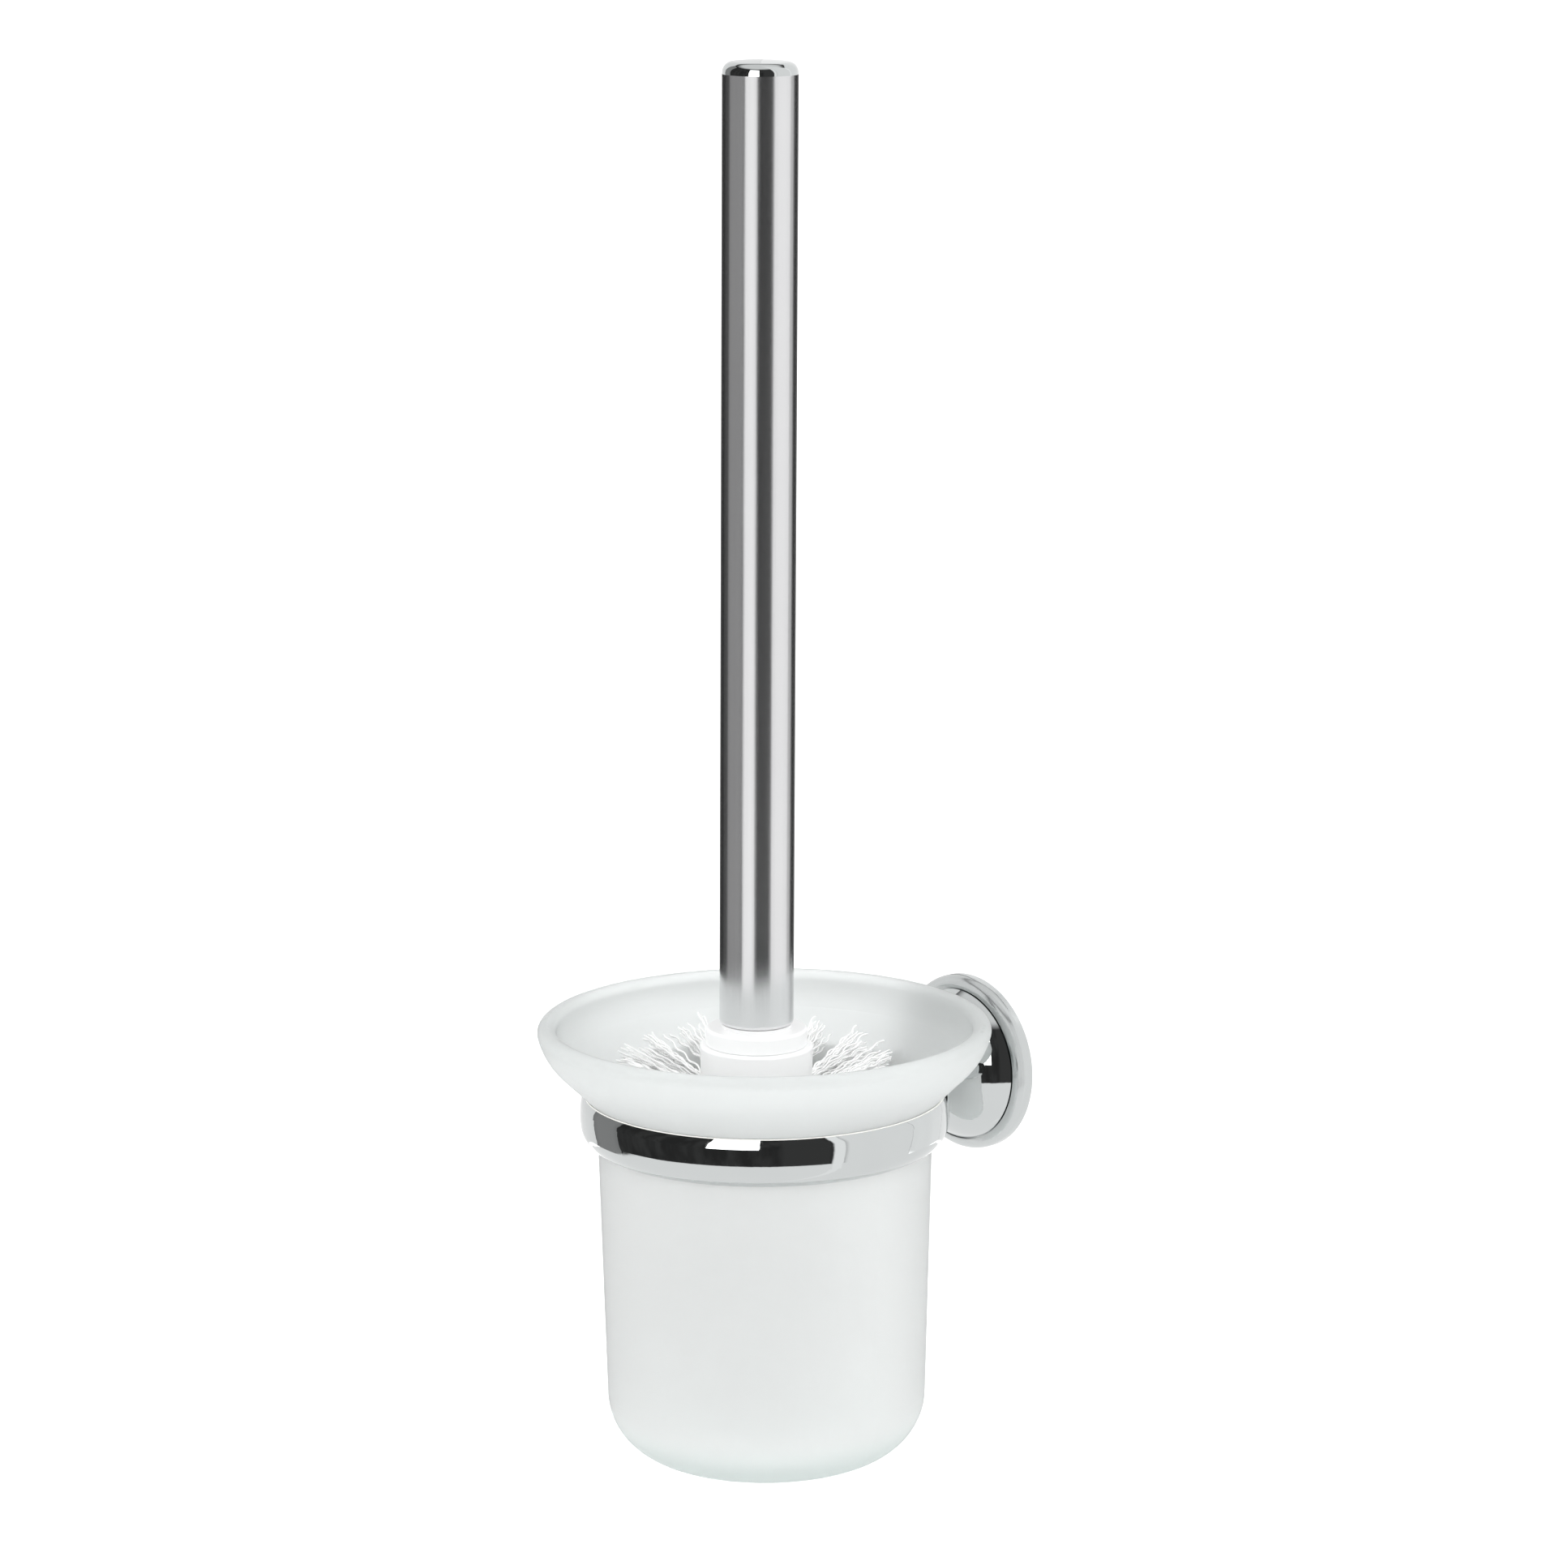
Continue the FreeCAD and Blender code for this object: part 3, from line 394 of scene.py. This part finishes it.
def make_bristle_row(row, height, tilt, length, material, rng):
    """One row of crimped bristle tufts, standing for its CAD cones."""
    end_row = row == "bristle_end_row"
    count = END_TUFTS if end_row else TUFTS_PER_ROW
    root_radius = END_TUFT_ROOT if end_row else TUFT_ROOT
    turn, axis_point = brush_turn()
    vertices, faces = [], []
    for number in range(count):
        angle = 2 * math.pi * number / count
        outward = Vector((math.cos(angle), math.sin(angle), 0))
        side = Vector((-math.sin(angle), math.cos(angle), 0))
        rise = math.radians(tilt)
        along = outward * math.cos(rise) + UP * math.sin(rise)
        other = along.cross(side)
        root = outward * root_radius + UP * height
        for _ in range(TOP_ROW_FIBRES if row == "bristle_row_top" else FIBRES_PER_TUFT):
            path = fibre_path(rng, root, along, side, other, length)
            world = [axis_point + turn @ point for point in path]
            add_tube(vertices, faces, world, FIBRE_RADIUS, FIBRE_SIDES)
    mesh = bpy.data.meshes.new(row + "_fibres")
    mesh.from_pydata(vertices, [], faces)
    mesh.polygons.foreach_set("use_smooth", [True] * len(mesh.polygons))
    mesh.materials.append(material)
    fibres = bpy.data.objects.new(row + "_fibres", mesh)
    scene.collection.objects.link(fibres)
    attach(fibres, "brush_head")
    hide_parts(row)


def make_bristles(material):
    """All rows, drawn in turn from one random sequence."""
    rng = random.Random(BRISTLE_SEED)
    for row, height, tilt, length in BRISTLE_ROWS:
        make_bristle_row(row, height, tilt, length, material, rng)


# ---------------------------------------------------------------- studio

FLOOR_HEIGHT = -0.40
FLOOR_RADIUS = 12.0
FLOOR_CORNERS = 96
BACKDROP_STRENGTH = 1.10
FILL_STRENGTH = 1.55
# Directions are a turn and a rise in degrees. The turn is 0 toward the camera and grows to the
# right, as seen in the picture.
STUDIO = [
    # turn low, turn high, rise low, rise high, turn edge, rise edge, brightness
    (43, 51, -90, 90, 1, 1, 1.10),
    (50, 80, -90, 90, 4, 1, 1.00),
    (72, 104, -90, 90, 0.2, 1, 1.00),
    (-130, -104, -90, 40, 5, 5, 0.07),
    (8, 44, -90, 54, 5, 5, 0.05),
    (-180, 180, 54, 90, 8, 8, 0.85),
    (-180, 180, -90, -22, 1, 0.5, 1.00),
    (-32, -6, -90, -22, 22, 0.5, 1.22),
]
STUDIO_DARK = 0.035


def studio_brightness(s):
    """Brightness of the studio by direction: a dark room with white walls, ceiling and floor."""
    direction = s.node("ShaderNodeTexCoord").outputs["Generated"]
    parts = []
    for axis in (ACROSS, -AWAY, UP):
        dot = s.node("ShaderNodeVectorMath", operation="DOT_PRODUCT")
        s.link(direction, dot.inputs[0])
        dot.inputs[1].default_value = axis
        parts.append(dot.outputs["Value"])
    turn = s.math("DEGREES", s.math("ARCTAN2", parts[0], parts[1]))
    rise = s.math("DEGREES", s.math("ARCSINE", parts[2]))
    total = s.ramp(s.noise(direction, 2.0, detail=2.0, stretch=(4.0, 4.0, 0.3)),
                   0.35, 0.7, STUDIO_DARK * 0.8, STUDIO_DARK * 1.4)
    for turn_low, turn_high, rise_low, rise_high, turn_edge, rise_edge, brightness in STUDIO:
        inside = 1.0
        if turn_low > -180:
            rising = s.ramp(turn, turn_low - turn_edge, turn_low + turn_edge)
            falling = s.ramp(turn, turn_high - turn_edge, turn_high + turn_edge, 1, 0)
            inside = s.math("MULTIPLY", rising, falling)
        if rise_low > -90:
            rising = s.ramp(rise, rise_low - rise_edge, rise_low + rise_edge)
            inside = s.math("MULTIPLY", inside, rising)
        if rise_high < 90:
            falling = s.ramp(rise, rise_high - rise_edge, rise_high + rise_edge, 1, 0)
            inside = s.math("MULTIPLY", inside, falling)
        lit = s.math("MULTIPLY", inside, brightness)
        total = s.math("MAXIMUM", total, lit)
    return total


def make_world():
    """White behind the object, plain light on it, and the studio for what is mirrored."""
    world = bpy.data.worlds.new("studio")
    scene.world = world
    world.use_nodes = True
    s = Shader(world.node_tree)
    background = world.node_tree.nodes["Background"]
    background.inputs["Color"].default_value = (1, 1, 1, 1)
    path = s.node("ShaderNodeLightPath")
    less_behind = s.math("MULTIPLY", path.outputs["Is Camera Ray"],
                         FILL_STRENGTH - BACKDROP_STRENGTH)
    plain = s.math("SUBTRACT", FILL_STRENGTH, less_behind)
    strength = s.node("ShaderNodeMix", data_type="FLOAT")
    s.link(path.outputs["Is Glossy Ray"], strength.inputs[0])
    s.link(plain, strength.inputs[2])
    s.link(studio_brightness(s), strength.inputs[3])
    s.link(strength.outputs[0], background.inputs["Strength"])
    world.cycles.sampling_method = "NONE"
    scene.view_settings.view_transform = "Standard"
    scene.view_settings.look = "None"


def make_floor():
    """A round pale floor well below the object."""
    bpy.ops.mesh.primitive_circle_add(vertices=FLOOR_CORNERS, radius=FLOOR_RADIUS, fill_type="NGON",
                                      location=RING_CENTRE + UP * FLOOR_HEIGHT)
    floor = bpy.context.object
    floor.name = "floor"
    material, _, sockets = new_material("floor", Roughness=0.9)
    sockets["Base Color"].default_value = (0.95, 0.95, 0.95, 1)
    floor.data.materials.append(material)
    floor.visible_glossy = False


CHROME_PARTS = NODE_MATERIALS["chrome"]
LAMP_DISTANCE = 2.0
RING_RADIUS = 0.0547
PANEL_WIDTH = 42
WATTS_PER_BRIGHTNESS = math.pi
# name, turn low, turn high, rise low, rise high, brightness, parts that it lights
LAMPS = [
    ("softbox", -36, -3, 1, 48, 4.0, CHROME_PARTS),
    ("back_right_wall", 104, 181.46, -24.5, 50, 1.0, CHROME_PARTS),
    ("back_left_wall", -181.52, -132, -24.5, 50, 0.9, CHROME_PARTS),
    ("left_wall", -132, -103, -24.5, 50, 0.22, CHROME_PARTS),
    ("tube_key", -47, -8, -45, 45, 1.02, ["handle_tube"]),
    ("tube_fill", -106, -52, -45, 45, 0.25, ["handle_tube"]),
    ("tube_edge", 104, 124, -45, 45, 0.5, ["handle_tube"]),
    ("tube_back", 155, 205, -45, 45, 0.2, ["handle_tube"]),
    ("rim_left", -180, 46, -22, 50, 0.85, ["rosette_rim"]),
    ("rim_right", 104, 180, -22, 50, 1.0, ["rosette_rim"]),
]


def make_lamp(name, turn_low, turn_high, rise_low, rise_high, brightness, lit):
    """A flat soft lamp that fills a range of directions.

    The directions are seen from the place on the ring that mirrors the lamp to the camera.
    """
    middle = math.radians((turn_low + turn_high) / 2)
    half_width = math.tan(math.radians((turn_high - turn_low) / 2)) * LAMP_DISTANCE
    bottom = math.tan(math.radians(rise_low)) * LAMP_DISTANCE
    top = math.tan(math.radians(rise_high)) * LAMP_DISTANCE
    outward = ACROSS * math.sin(middle) - AWAY * math.cos(middle)
    mirror = ACROSS * math.sin(middle / 2) - AWAY * math.cos(middle / 2)
    data = bpy.data.lights.new(name, "AREA")
    data.shape = "RECTANGLE"
    data.size, data.size_y = 2 * half_width, top - bottom
    data.energy = brightness * WATTS_PER_BRIGHTNESS * data.size * data.size_y
    lamp = bpy.data.objects.new(name, data)
    lamp.location = (RING_CENTRE + mirror * RING_RADIUS + outward * LAMP_DISTANCE
                     + UP * (bottom + top) / 2)
    lamp.rotation_mode = "QUATERNION"
    lamp.rotation_quaternion = (-outward).to_track_quat("-Z", "Y")
    lamp.visible_camera = False
    scene.collection.objects.link(lamp)
    lamp.light_linking.receiver_collection = lit


def make_lamps():
    """Soft lamps round the object, each for its own parts, in panels of limited width."""
    for name, turn_low, turn_high, rise_low, rise_high, brightness, parts in LAMPS:
        lit = bpy.data.collections.new(name + "_parts")
        for part in parts:
            lit.objects.link(nodes[part])
        panels = math.ceil((turn_high - turn_low) / PANEL_WIDTH)
        width = (turn_high - turn_low) / panels
        for number in range(panels):
            start = turn_low + number * width
            make_lamp("%s_%d" % (name, number + 1), start, start + width, rise_low, rise_high,
                      brightness, lit)


make_camera()
made_materials = make_materials()
make_bristles(made_materials["bristle_nylon"])
make_world()
make_lamps()
make_floor()
